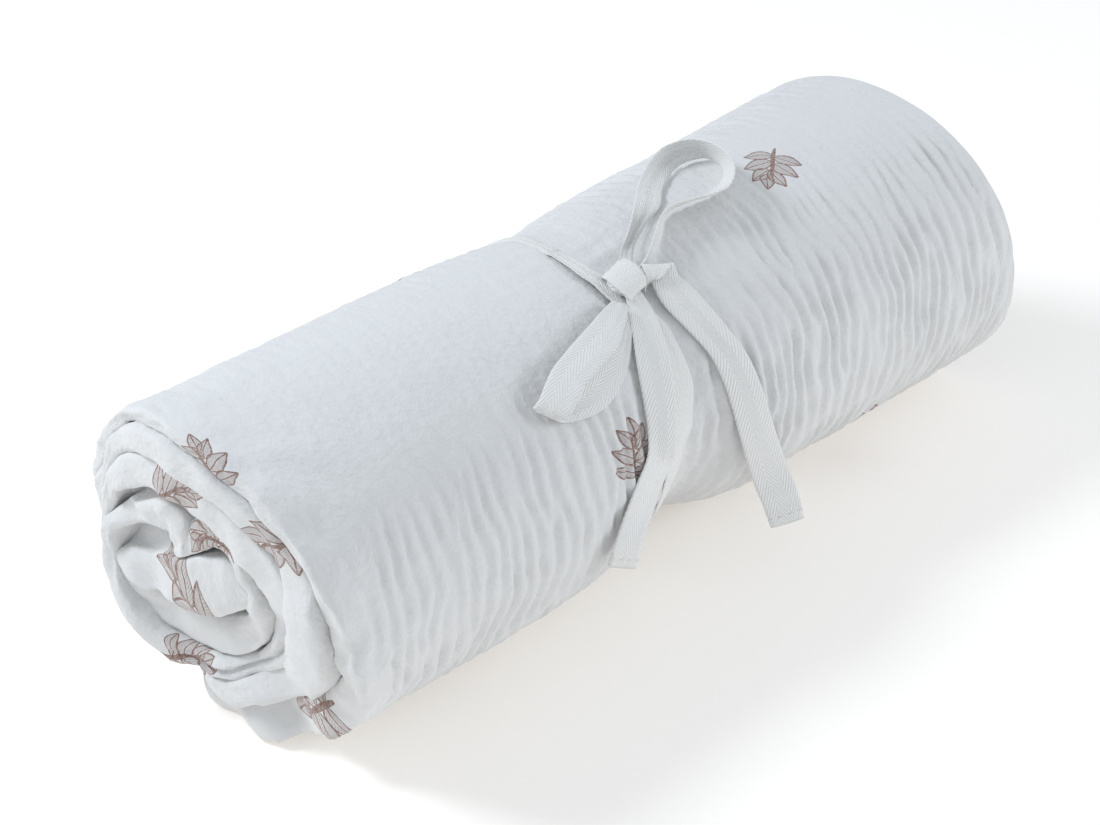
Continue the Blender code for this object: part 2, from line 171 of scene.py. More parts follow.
# The folds of the core, in mm across the roll (back, up): outer face, inner
# face, reach, and how far the inner face sags and the outer face swells behind the near end
coreFolds = (
    ((34.5, 17.4), (30.5, 11.5), 3, 8, 2),  # hook
    ((26.5, 23.0), (25.2, 15.2), 3, 10, 3),
    ((18.8, 26.0), (20.4, 16.8), 3, 10, 3),
    ((11.2, 26.5), (17.2, 16.3), 3, 5, 2),
    ((6.8, 22.8), (16.4, 13.7), 3, 1, 0),
    ((6.8, 17.6), (15.8, 10.9), 3, 0, 0),
    ((8.2, 14.6), (14.8, 8.6), 3, 0, 0),  # hook's tip
    ((7.9, 14.4), (12.6, 8.2), 3, 0, 0),
    ((7.4, 16.0), (9.2, 9.6), 2.5, 0, 0),  # petal
    ((6.4, 19.6), (5.4, 12.2), 2, 0, 0),
    ((4.2, 25.0), (1.0, 15.4), 1.5, 0, 0),
    ((-1.5, 27.2), (-2.5, 18.0), 1, 0, 0),
    ((-7.4, 22.6), (-6.0, 16.8), 0.8, 0, 0),  # side
    ((-12.4, 15.8), (-9.6, 12.0), 0.8, 0, 0),
    ((-15.8, 8.0), (-10.6, 6.2), 1, 0, 0),
    ((-17.0, 0.0), (-10.2, -0.6), 1, 0, 0),
    ((-16.2, -7.4), (-8.4, -6.6), 1, 0, 1.2),
    ((-13.2, -15.2), (-5.4, -11.0), 0.8, 0, 1.5),
    ((-8.0, -22.4), (-0.6, -13.8), 1.2, 1, 1.5),  # bottom
    ((0.2, -29.0), (5.0, -15.2), 3, 2, 0),
    ((12.0, -31.2), (12.4, -14.6), 4, 2, 0),
    ((22.5, -29.2), (20.0, -15.0), 5.5, 2, 0),
    ((31.5, -24.2), (26.4, -15.2), 7, 1, 0),
    ((37.4, -17.6), (29.6, -14.2), 8, 0, 0),  # back turn
    ((40.4, -11.0), (29.0, -12.8), 8.5, 0, 0),
    ((40.0, -4.5), (26.8, -12.0), 8.5, 0, 0),
    ((35.5, -1.8), (23.5, -11.8), 7, 0, 9),  # pillow
    ((27.0, 1.0), (17.5, -11.8), 6, 0, 9),
    ((18.0, 4.8), (10.5, -11.2), 5, 0, 6),
    ((9.0, 8.0), (4.4, -10.4), 4.5, 0, 1.5),
    ((1.0, 12.0), (-1.2, -8.4), 3.5, 0, 0),
    ((-4.5, 13.6), (-5.2, -6.4), 2.6, 0, 0),
    ((-8.5, 12.8), (-8.2, -4.8), 2.0, 0, 0),
    ((-12.0, 9.5), (-11.6, -2.4), 1.2, 0, 0),  # its end, inside the side
    ((-14.0, 6.0), (-13.8, 0.0), 0.6, 0, 0),
    ((-14.8, 3.4), (-14.7, 2.2), 0.3, 0, 0),
)

# The waist that the tape draws in. The gathers are small folds that run out of the tie along the roll
waist = {
    "x": -14 * mm,
    "wideDepth": 2.2 * mm,
    "wideSpread": 55 * mm,
    "biteDepth": 1.4 * mm,
    "biteSpread": 9 * mm,
    "narrowLeast": 1.0 * mm,
    "narrowMost": 9.0 * mm,
    "narrowSpread": 20 * mm,
    "leastAt": -38.0,
    "gatherX": -17 * mm,
    "gatherDepth": 1.0 * mm,
    "gatherReach": 20 * mm,
    "gatherEvery": 8.5,  # degrees
    "gatherWander": (3.5, 26, 16, 4.7),
    "gatherMean": 0.55,
    "gatherPatches": (0.9, 18, 20, 7.3),
}

# The band round the waist: angle from the top, x, width and height over the cloth in mm
bandRows = (
    (20, -22, 9, 1.3),
    (45, -15.6, 11, 1.0),
    (63, -15.2, 12, 0.7),
    (80, -17.6, 12, 0.5),
    (92, -21.5, 12, 0.3),
    (108, -24, 12, 0.2),
    (140, -22, 12, 0.5),
    (180, -18, 12, 0.9),
    (220, -16, 12, 0.9),
    (260, -16, 12, 0.9),
    (300, -18, 10, 0.2),
    (335, -20.5, 6, -0.7),
    (350, -23.5, 4.5, -0.5),
    (362, -25, 5, 0.3),
    (373, -24.5, 7, 1.1),
)


def smooth(value):
    value = min(1.0, max(0.0, value))
    return value * value * (3 - 2 * value)


def rise(place, start, length):  # 0 up to the start, 1 from a length further on
    return smooth((place - start) / length)


def bell(distance, spread):
    return math.exp(-((distance / spread) ** 2))


# Noise over the roll. A layer is its strength, its size along the roll in mm, its size round the
# roll in the given unit, and the plane that is cut through the noise
def uneven(layer, x, turned, unit=mm):
    strength, length, width, plane = layer
    return strength * noise.noise((x / (length * mm), turned / (width * unit), plane))


def towards(angle, direction):  # 1 where an angle points in a direction, 0 opposite it
    return 0.5 + 0.5 * math.cos(math.radians(angle - direction))


def onRoll(x, angle, radius):  # angles run from the top (+Z) to the front (-Y)
    turned = math.radians(angle)
    return Vector((x, -radius * math.sin(turned), radius * math.cos(turned)))


def angleOf(spot):  # a spot is the place across the roll: back, up
    return math.degrees(math.atan2(-spot[0], spot[1]))


def clothRadius(x, angle):
    flare = roll["flareSlope"] * max(0.0, x - roll["flareStart"])
    tuck = roll["tuckDepth"] * smooth((roll["tuckStart"] - x) / roll["tuckLength"])
    tuck *= towards(angle, roll["tuckDirection"]) ** roll["tuckFocus"]
    away = x - waist["x"]
    deeper = (waist["narrowMost"] - waist["narrowLeast"]) * (1 - towards(angle, waist["leastAt"]))
    pinch = waist["wideDepth"] * bell(away, waist["wideSpread"])
    pinch += waist["biteDepth"] * bell(away, waist["biteSpread"])
    pinch += (waist["narrowLeast"] + deeper) * bell(away, waist["narrowSpread"])
    return roll["radius"] + flare - tuck - pinch


def turnThickness(winding):
    growth = roll["thickness"] - roll["outerEndThickness"]
    return roll["outerEndThickness"] + growth * smooth(winding / roll["taperAngle"])


def turnRadius(winding):
    if winding < 360:
        drop = smooth((winding - roll["dropStart"]) / (360 - roll["dropStart"]))
        return roll["radius"] - (roll["outerEndThickness"] + roll["turnGap"]) * drop
    return turnRadius(winding - 360) - turnThickness(winding - 360) - roll["turnGap"]


def across(angle, radius):  # the inner turns lie further back than the roll's axis
    offset = roll["coreOffset"] * (roll["radius"] - radius) / (roll["radius"] - roll["coreRadius"])
    turned = math.radians(angle)
    return Vector((offset - radius * math.sin(turned), radius * math.cos(turned)))


def bandAt(angle):  # the band's middle, width and height over the cloth, in metres
    angle = (angle - bandRows[0][0]) % 360 + bandRows[0][0]
    for row, following in zip(bandRows, bandRows[1:] + bandRows[:1]):
        gap = (following[0] - row[0]) % 360
        if angle < row[0] + gap:
            share = smooth((angle - row[0]) / gap)
            return [(row[k] * (1 - share) + following[k] * share) * mm for k in (1, 2, 3)]


def readAlong(knots, winding):  # a value in metres from a table of (degrees of winding, mm)
    if winding <= knots[0][0]:
        return knots[0][1] * mm
    for (start, first), (end, second) in zip(knots, knots[1:]):
        if winding < end:
            return (first + (second - first) * smooth((winding - start) / (end - start))) * mm
    return knots[-1][1] * mm


def endOf(end, place, reach):
    return end["middle"] + end["leanBack"] * place[0] + end["leanUp"] * place[1] - reach


def between(p0, p1, p2, p3, share):  # a smooth curve from p1 to p2
    a, b, c = 2 * p1, p2 - p0, 2 * p0 - 5 * p1 + 4 * p2 - p3
    d = 3 * p1 - p0 - 3 * p2 + p3
    return (a + (b + (c + d * share) * share) * share) * 0.5


gauze = {
    "cut": 1.2,  # the square's side; folded twice it gives a strip of four plies
    "firstTurnStep": 2.5,
    "innerStep": 4.5,
    "coreSteps": 4,
    "leadIn": 12,  # degrees of the last turn that point into the core
    "roundedEnd": ((-1.9, 0.12), (-1.4, 0.55), (-0.7, 0.85)),  # degrees, share of the thickness
    "column": 0.9 * mm,
    "noseDepth": 2.5 * mm,
    "noseShape": 0.62,
    "noseAngles": (10, 22, 35, 48, 61, 74, 90),
    "keptInset": 30 * mm,
    "press": 0.09,  # the turns swell against each other at the near end
    "grooveFade": 24 * mm,
    "sagStart": (3.5 * mm, 7 * mm),
    "sagEnd": (14 * mm, 20 * mm),
    "crinklePitch": 5.9 * mm,
    "crinkleDepth": 1.15 * mm,
    "crinkleWaves": 12,
    "crinkleSpread": 0.24,
    "crinkleRun": 70 * mm,
    "crinkleWander": ((2.2, 22, 15, 3.1), (0.7, 9, 5, 5.7)),
    "crinkleCalm": 0.35,  # lower where the waves cancel out
    "grooveShape": 1.9,  # above 1 the grooves are narrower than the ridges
    "crinklePatches": (0.6, 9, 7, 8.8),
    "nearCrinkle": 0.4,  # the share of it that reaches the near end
    "nearCrinkleRise": (1 * mm, 14 * mm),
    "ripples": ((0.23, 2.2, 3.8, 5.1), (0.368, 4.5, 7, 9.9), (0.5, 30, 34, 1.7)),
    "bandSpread": 8 * mm,
    "bandFlattens": 0.9,
    "bandDepth": 0.5 * mm,
    "seed": 7,
}
# Where the crinkle stands out: low in front and to the right of the tie, away from an angle on top
ridges = {
    "top": 5.0,
    "faint": 0.12,
    "strong": 0.90,
    "lowShare": 0.88,
    "lowRise": (33, 26),
    "rightShare": 1.12,
    "rightRise": (8, 30),
    "rightRiseX": (2 * mm, 22 * mm),
    "patches": (0.55, 34, 30, 6.6),
    "patchMean": 0.75,
    "calmX": -18 * mm,
    "calmSpread": 9 * mm,
    "calmDepth": 0.6,
}
# The hem's band stands out and its stitched line is sunk
hem = {
    "width": 8 * mm,
    "height": 0.35 * mm,
    "step": 1.5 * mm,
    "seamInset": 1 * mm,
    "seamDepth": 0.45 * mm,
    "seamSpread": 1.0 * mm,
    "seamStep": 4 * mm,
    "crinkleFade": 14 * mm,
    "crinkleLeft": 0.2,
}
# The near end's small puckers and loose edges. A pucker is its strength, its size along the roll and
# round it in mm, its plane of the noise, and how far the ply moves the plane. A loose part is its
# strength and size in mm, its place, how far the ply moves the place, and its plane
softEnd = {
    "puckerDepth": 0.42 * mm,
    "puckers": ((1, 3.4, 5.5, 0, 1), (0.6, 1.9, 2.6, 4, 1), (1.5, 9, 7.5, 11.3, 0.7)),
    "puckerFade": (20 * mm, 30 * mm),
    "puckerLeast": 0.35,
    "plyPlanes": {"outer": 0.0, "inner": 0.0, "second": 5.0, "third": 9.0},
    "loose": ((0.9, 13, 0.4, 0, 2.2), (1.1, 7, 0, 1.1, 7.2), (0.35, 3.5, 5.4, 0, 2.2)),
    "looseFade": 12 * mm,
    "driftDepth": 1.5 * mm,
    "driftSize": 26 * mm,
    "driftLeft": 0.25,  # the share of it that goes on along the roll
    "lumpDepth": 1.0 * mm,
    "lumpSize": 9 * mm,
    "lumpFade": (4 * mm, 18 * mm),
}


def spiralSection(winding):  # the strip's outer face, inner face and reach
    angle, radius = roll["outerEndAngle"] + winding, turnRadius(winding)
    inner = across(angle, radius - turnThickness(winding))
    return across(angle, radius), inner, readAlong(reachAlong, winding)


def stripRows():  # rows across the strip, from its outer end to its inner end
    rows = []

    def addRow(outer, inner, reach, sag, swell, winding):
        row = {"outer": outer, "inner": inner, "sag": sag, "swell": swell, "winding": winding}
        row["middle"] = (outer + inner) / 2
        row["near"] = endOf(nearEnd, outer, reach)
        row["far"] = endOf(farEnd, outer, reach)
        rows.append(row)

    halfThickness = roll["outerEndThickness"] / 2
    for winding, share in gauze["roundedEnd"]:
        angle = roll["outerEndAngle"] + winding
        middle, half = roll["radius"] - halfThickness, halfThickness * share
        addRow(across(angle, middle + half), across(angle, middle - half), 0.0, 0.0, 0.0, winding)
    winding = 0.0
    while winding < roll["spiralEnd"]:
        addRow(*spiralSection(winding), readAlong(sagAlong, winding), 0.0, winding)
        winding += gauze["firstTurnStep"] if winding < 360 else gauze["innerStep"]
    turnsEnd = rows[-1]["winding"]
    knots = [(*spiralSection(winding), 0.0, 0.0) for winding in (turnsEnd - gauze["leadIn"], turnsEnd)]
    for outer, inner, *rest in coreFolds:
        knots.append((Vector(outer) * mm, Vector(inner) * mm, *(value * mm for value in rest)))
    knots.append(tuple(2 * last - before for last, before in zip(knots[-1], knots[-2])))
    for k in range(1, len(knots) - 2):
        for step in range(gauze["coreSteps"]):
            share = (step + 1) / gauze["coreSteps"]
            point = [between(*(knots[k + i][part] for i in (-1, 0, 1, 2)), share) for part in range(5)]
            addRow(*point, math.inf)  # past every turn
    length = 0.0
    for before, row in zip(rows[:1] + rows, rows):
        length += (row["middle"] - before["middle"]).length
        row["along"] = length
    for row in rows:
        row["share"] = row["along"] / length
    print("strip's length along its middle:", round(length, 3), "m in", len(rows), "rows")
    return rows


# A column runs along the strip. "cut" is its place across the cut cloth in metres, "inset" how far
# it lies from the near end, "level" its place through the strip from -1 (outer) to 1 (inner)
def plyColumns(fine):
    width = gauze["cut"] / 4
    bend = gauze["noseDepth"]
    edge, arc, before = [], 0.0, (0.0, 0.0)
    for turned in gauze["noseAngles"]:
        inset = bend * (1 - math.cos(math.radians(turned)) ** gauze["noseShape"])
        level = math.sin(math.radians(turned)) ** gauze["noseShape"]
        arc += math.hypot(inset - before[0], (level - before[1]) * roll["thickness"] / 2)
        edge.append((inset, level, arc))
        before = (inset, level)
    spare = arc - bend  # cloth that the bend takes up
    tied = (80, 115, 132, 146, 160, 178, 215)  # closer where the tape draws the roll in
    if fine:
        count = int((width - bend) / gauze["column"])
        flat = [bend + (width - bend) * (k + 1) / count for k in range(count)]
    else:
        flat = [value * mm for value in (4, 5.2, 6.6, 8.4, 10.6, 13.5, 17, 22, 29, *tied, 280, 297, 300)]
    hidden = [value * mm for value in (4.2, 5.5, 7.5, 10, 14, 20, 30, *tied, 280, 298.5)]
    farFold, nearFold = 2 * width + spare, 3 * width + spare
    columns = [(width - inset - spare, inset, -1.0, "outer") for inset in reversed(flat)]
    columns += [(width - arc, inset, -level, "outer") for inset, level, arc in reversed(edge)]
    columns += [(width, 0.0, 0.0, "outer")]
    columns += [(width + arc, inset, level, "inner") for inset, level, arc in edge]
    columns += [(width + inset + spare, inset, 1.0, "inner") for inset in hidden]
    for level, inset in ((0.86, 299.6), (0.667, 299.9), (0.47, 299.6)):
        columns.append((farFold + (0.667 - level) * mm, inset * mm, level, "third"))
    columns += [(nearFold - inset, inset, 0.333, "third") for inset in reversed(hidden)]
    columns += [(nearFold - 3.2 * mm, 3.2 * mm, 0.0, "third")]
    columns += [(nearFold + inset, inset, -0.333, "second") for inset in hidden]
    columns += [(nearFold + width, 299.2 * mm, -0.36, "second")]
    return columns


def makeWaves():  # plane waves that run nearly round the roll
    picker = random.Random(gauze["seed"])
    waves = []
    for wave in range(gauze["crinkleWaves"]):
        pitch = gauze["crinklePitch"] * (1 + gauze["crinkleSpread"] * picker.uniform(-1, 1))
        alongRate = 2 * math.pi / gauze["crinkleRun"] * picker.gauss(0, 1)
        waves.append((2 * math.pi / pitch, alongRate, picker.uniform(0, 2 * math.pi)))
    return waves


def crinkle(waves, u, s):  # from -1 to 1: summed, the waves' ridges waver, meet and part
    for layer in gauze["crinkleWander"]:
        u += uneven(layer, u, s) * mm
    real = imaginary = 0.0
    for acrossRate, alongRate, phase in waves:
        turned = acrossRate * u + alongRate * s + phase
        real += math.cos(turned)
        imaginary += math.sin(turned)
    height = real / math.sqrt(real * real + imaginary * imaginary + gauze["crinkleCalm"] * len(waves))
    return 1 - 2 * ((1 - height) / 2) ** gauze["grooveShape"]


def ridgeStrength(x, angle):
    angle = (angle + 180) % 360 - 180
    away = abs(angle - ridges["top"])
    low = rise(away, *ridges["lowRise"])
    right = rise(x, *ridges["rightRiseX"]) * rise(away, *ridges["rightRise"])
    patches = ridges["patchMean"] + uneven(ridges["patches"], x, angle, 1)
    zone = max(ridges["lowShare"] * low, ridges["rightShare"] * right)
    strength = ridges["faint"] + ridges["strong"] * zone * patches
    return strength * (1 - ridges["calmDepth"] * bell(x - ridges["calmX"], ridges["calmSpread"]))


def gathers(x, angle):
    away = abs(x - waist["gatherX"]) / waist["gatherReach"]
    turned = angle * 2 * math.pi / waist["gatherEvery"] + uneven(waist["gatherWander"], x, angle, 1)
    patches = waist["gatherMean"] + uneven(waist["gatherPatches"], x, angle, 1)
    return waist["gatherDepth"] * math.exp(-away) * math.cos(turned) * patches


def outerRelief(row, x, fromNear, angle, waves):  # how far the outermost turn stands out
    along, least = row["along"], gauze["nearCrinkle"]
    strength = ridgeStrength(x, angle) * (least + (1 - least) * rise(fromNear, *gauze["nearCrinkleRise"]))
    strength *= 1 + uneven(gauze["crinklePatches"], x, along)
    lift = gauze["crinkleDepth"] * strength * (crinkle(waves, x, along) - 0.5)
    for layer in gauze["ripples"]:
        lift += uneven(layer, x, along) * mm
    lift += gathers(x, angle)
    pressed = bell(x - bandAt(angle)[0], gauze["bandSpread"])
    lift -= pressed * (gauze["bandFlattens"] * lift + gauze["bandDepth"])
    fromEdge = min(row["far"] - x, along)
    if fromEdge < hem["crinkleFade"]:
        lift *= smooth(fromEdge / hem["crinkleFade"]) * (1 - hem["crinkleLeft"]) + hem["crinkleLeft"]
        lift += hem["height"] * (1 - rise(fromEdge, hem["width"], hem["step"]))
        lift -= hem["seamDepth"] * bell(fromEdge - hem["width"] + hem["seamInset"], hem["seamSpread"])
    return lift


def endRelief(x, along, level, ply):  # how far the near end's puckers lift and its edges stand out
    pucker = loose = 0.0
    for strength, length, width, plane, follow in softEnd["puckers"]:
        plane += softEnd["plyPlanes"][ply] + follow * level
        pucker += uneven((strength, length, width, plane), x, along)
    for strength, length, place, follow, plane in softEnd["loose"]:
        loose += strength * mm * noise.noise((along / (length * mm), place + follow * level, plane))
    return softEnd["puckerDepth"] * pucker * min(1.0, abs(level) + softEnd["puckerLeast"]), loose


def gauzePoint(row, column, waves):
    cut, inset, level, ply = column
    half = (row["outer"] - row["inner"]) / 2
    outwards = half.normalized()
    kept = gauze["keptInset"]  # a column this near keeps its inset, the others share the length left
    rest = (row["far"] - row["near"] - kept) / (gauze["cut"] / 4 - kept)
    x = row["near"] + min(inset, kept) + max(0.0, inset - kept) * rest
    fromNear = x - row["near"]
    ending = 1 - smooth(fromNear / gauze["grooveFade"])
    spot = row["middle"] - half * level * (1 + gauze["press"] * ending)
    spot += outwards * ending * (1 - level) / 2 * readAlong(grooveAlong, row["winding"] - 360)
    spot += outwards * ending * (1 + level) / 2 * readAlong(grooveAlong, row["winding"])
    if level == 0:
        x += readAlong(creaseAlong, row["winding"])
    if abs(level) == 1:
        behind = rise(inset, *gauze["sagStart"]) * (1 - rise(inset, *gauze["sagEnd"]))
        spot += outwards * behind * (row["swell"] if level < 0 else -row["sag"])
    lift = 0.0
    if ply == "outer" and row["winding"] <= 360:
        lift = outerRelief(row, x, fromNear, angleOf(spot), waves)
    fade = 1 - rise(fromNear, *softEnd["puckerFade"])
    if fade > 0:
        pucker, loose = endRelief(x, row["along"], level, ply)
        lift += pucker * fade
        x += loose * fade * (1 - smooth(inset / softEnd["looseFade"]))
    spot += outwards * lift * (1 if level <= 0 else -1)
    radius, angle = math.hypot(spot[0], spot[1]), angleOf(spot)
    point = onRoll(x, angle, radius * clothRadius(x, angle) / roll["radius"])
    # the whole roll is soft: neighbouring turns share a slow drift, and lumps near the near end
    drift = noise.noise_vector(point / softEnd["driftSize"] + Vector((gauze["seed"], 0, 0)))
    point += drift * softEnd["driftDepth"] * (softEnd["driftLeft"] + (1 - softEnd["driftLeft"]) * fade)
    lumps = noise.noise_vector(point / softEnd["lumpSize"] + Vector((0, gauze["seed"], 0)))
    point += lumps * softEnd["lumpDepth"] * (1 - rise(fromNear, *softEnd["lumpFade"]))
    point.z = max(point.z, -roll["axisHeight"])
    return point + rollAxis


def finishMesh(bm, name):
    mesh = bpy.data.meshes.new(name)
    bm.to_mesh(mesh)
    bm.free()
    return addObject(name, mesh)


def makeGauze():
    rows = stripRows()
    waves = makeWaves()
    noise.seed_set(gauze["seed"])  # vector noise would otherwise differ at each run
    fine, plain = plyColumns(True), plyColumns(False)
    bm = bmesh.new()
    layer = bm.loops.layers.uv.new("cloth")
    places = {}
    made = []
    for row in rows:
        columns = fine if row["winding"] <= 360 else plain
        verts = []
        for column in columns:
            vert = bm.verts.new(gauzePoint(row, column, waves))
            places[vert] = (column[0], row["share"] * gauze["cut"])
            verts.append(vert)
        made.append((verts, columns))
    for (left, leftColumns), (right, rightColumns) in zip(made, made[1:]):
        if leftColumns is rightColumns:
            for k in range(len(left) - 1):
                bm.faces.new((left[k], left[k + 1], right[k + 1], right[k]))
            continue
        a = b = 0  # fine columns meet plain ones in triangles
        while a < len(left) - 1 or b < len(right) - 1:
            if b == len(right) - 1 or (a < len(left) - 1 and leftColumns[a + 1][0] <= rightColumns[b + 1][0]):
                bm.faces.new((left[a], left[a + 1], right[b]))
                a += 1
            else:
                bm.faces.new((left[a], right[b + 1], right[b]))
                b += 1
    for face in bm.faces:
        face.smooth = True
        for loop in face.loops:
            loop[layer].uv = places[loop.vert]
    blanket = finishMesh(bm, "gauzeBlanket")
    width = gauze["cut"] / 4
    line = hem["width"] - hem["seamInset"]  # the stitched line's distance from the edge
    farSeam = [(row, width - line) for row in rows if row["along"] > line and row["winding"] < 360]
    endRow = min(rows, key=lambda row: abs(row["along"] - line))
    steps = round(width / hem["seamStep"])
    endSeam = [(endRow, step * hem["seamStep"]) for step in range(2, steps - 2)]
    seams = []
    for seam in (farSeam, endSeam):
        seams.append([gauzePoint(row, (0.0, inset, -1.0, "outer"), waves) for row, inset in seam])
    return blanket, seams


bow = {
    "width": 12 * mm,
    "cut": 0.90,  # the tape's whole length, with what the knot hides
    "thickness": 0.6 * mm,
    "edge": 0.55,  # its edges are thinner
    "bandSteps": 168,
    "bandPleats": 0.7,
    "smoothness": 6,  # sections between two rows of a table
    "easing": 3,
    "columns": 16,
    "pleats": 2.5,
    "pleatTurn": 9,  # radians along each metre
    "crown": 0.25 * mm,
    "hem": 5.5 * mm,
    "hemThickness": 2.2,
    "seamAt": 0.8,  # the share of the hem
    "seamHeight": 0.1 * mm,
}
knot = {
    "x": -16.3 * mm,
    "angle": 23.0,
    "height": 3.5 * mm,
    "size": (13.5 * mm, 13 * mm, 6.8 * mm),
    "turn": -14.0,
    "wrapSteps": 36,
    "wrapSides": (0.36, 0.46, 0.40),  # shares of the size
    "wrapUnder": 0.13,  # it is narrower where it goes under
    "wrapSlant": 0.8 * mm,
    "wrapPleats": 0.15,
    "coreSides": (0.44, 0.42, 0.36),
    "coreRough": 0.10,
    "coreRoughSize": 2.1,
}
# The loops and tails. A row is a section across the tape: x in mm, degrees from the top towards the
# front and height over the cloth in mm, first for its left edge and then for its right edge
upperLoop = (
    (-15.4, 19, 5, -10, 20, 4.4), (-9.9, 14, 5, -4.7, 15, 3.2), (-4.5, 11, 5, 2.5, 11, 1.8),
    (1.7, 7, 5, 9.9, 8, 1.5), (8.5, 2, 5.2, 18, 5, 1.2), (15.5, -3, 5.6, 25.4, -1, 1.2),
    (22.5, -7, 6.2, 32.3, -5, 1.2), (30.2, -10, 7.4, 39.6, -8, 1.2), (37.5, -10.5, 9.2, 46, -8, 1.2),
    (44.2, -7, 10.2, 51, -5, 1.2), (46.2, -1, 11.2, 51, 0, 1.2), (46, 6, 11.4, 48.5, 4.5, 1.2),
    (43, 12.5, 10.8, 44, 8, 1.2), (35.6, 17, 10.5, 37.4, 10, 1.2), (27.9, 17, 10.5, 32, 10, 1.2),
    (19.2, 15, 10.5, 25, 9, 1.2), (9.2, 13.5, 10.2, 15.6, 9, 1.2), (-0.1, 18, 9, 5.2, 15, 1.5),
    (-6.5, 21.5, 6, -3.5, 19.5, 2.4), (-13, 23, 3.6, -11.5, 22, 3),
)
lowerLoop = (
    (-27, 28, 4, -22.5, 32, 4.2), (-34.6, 30, 4.6, -31, 37.5, 5.4), (-43.3, 32.5, 5, -38.8, 41.5, 6.4),
    (-51, 34.5, 5.5, -46, 43.5, 7.4), (-58.3, 36.5, 6, -53, 45, 8.4), (-65, 38.5, 6.5, -59, 46.5, 9),
    (-70, 41, 6.5, -64.5, 49, 9), (-74.8, 44, 5.6, -69, 51.5, 8), (-76.3, 45, 3.6, -70.5, 51.5, 5),
    (-72.2, 47, 1.6, -66, 53.5, 2.2), (-62.5, 47, 1, -56.5, 55.5, 1), (-52.8, 45, 1, -48.6, 55, 1),
    (-43.7, 42, 1, -41, 52, 1), (-35, 38, 1.2, -34, 47.5, 1.2), (-27.4, 33.5, 2.2, -27, 40, 2.2),
    (-22, 29.5, 3, -20, 33, 3),
)
centreTail = (
    (-20.2, 28, 3.4, -13.5, 28.5, 3.6), (-24.5, 36, 2.6, -14.5, 39, 4.2), (-29, 44, 2, -18.5, 49.5, 6),
    (-32.8, 52, 1.8, -22.5, 58.5, 7), (-35.2, 60, 1.6, -26, 68, 7), (-37.3, 69, 1.4, -29.5, 78, 6.4),
    (-40, 76.5, 1.4, -30.5, 86, 3.2), (-46, 82, 1.4, -36, 91, 2.6), (-52, 88, 1.8, -41.5, 95, 3.8),
    (-57, 94, 2.6, -47.5, 99, 6.4), (-59.6, 98.5, 3.4, -49.6, 103, 7.2), (-61, 105, 3.8, -51, 109, 8),
)
# The front tail leaves the knot, folds over on itself and comes down
frontTail = (
    (-12, 30, 3, -10.5, 27, 3.6), (-10, 26, 5, -6, 29, 4.8), (-8.6, 22.4, 5.8, -0.8, 27.6, 6.4),
    (-7.8, 23, 4.2, 0.8, 28, 4.8), (-8, 28, 2.6, 1, 31, 3), (-8.3, 36, 1.6, 3.4, 37, 2),
    (-5, 48, 1.2, 7, 51, 1.4), (-1.2, 60, 1, 10.6, 64, 1.6), (0.8, 74, 1.2, 12.4, 77.5, 3),
    (3, 91, 3, 15, 92, 5), (7, 108, 8, 18.6, 104, 9.2), (8.8, 114.5, 14, 20, 110.5, 15.8),
    (10.4, 120, 20.6, 21, 117, 22.8),
)


def tableEdge(rows, side):  # one edge of the tape as a smooth line through its rows
    knots = []
    for row in rows:
        x, angle, height = row[3 * side : 3 * side + 3]
        knots.append(onRoll(x * mm, angle, clothRadius(x * mm, angle) + height * mm))
    knots = [2 * knots[0] - knots[1]] + knots + [2 * knots[-1] - knots[-2]]
    points = []
    steps = bow["smoothness"]
    for k in range(1, len(knots) - 2):
        points += [between(*knots[k - 1 : k + 3], step / steps) for step in range(steps)]
    return points + [knots[-2]]


def bandEdges():
    left, right = [], []
    for step in range(bow["bandSteps"]):
        angle = 360 * step / bow["bandSteps"]
        middle, width, height = bandAt(angle)
        for side, points in ((-1, left), (1, right)):
            x = middle + side * width / 2
            points.append(onRoll(x, angle, clothRadius(x, angle) + height))
    return left, right


def tapeNormals(left, right, closed):  # away from the cloth, eased along the tape
    count = len(left)
    if closed:
        beside = [((k - 1) % count, (k + 1) % count) for k in range(count)]
    else:
        beside = [(max(k - 1, 0), min(k + 1, count - 1)) for k in range(count)]
    normals = []
    for k, (before, after) in enumerate(beside):
        along = (left[after] + right[after]) - (left[before] + right[before])
        normals.append(along.cross(right[k] - left[k]).normalized())
    for turn in range(bow["easing"]):
        sums = [normals[before] + 2 * normals[k] + normals[after] for k, (before, after) in enumerate(beside)]
        normals = [total.normalized() for total in sums]
    return normals


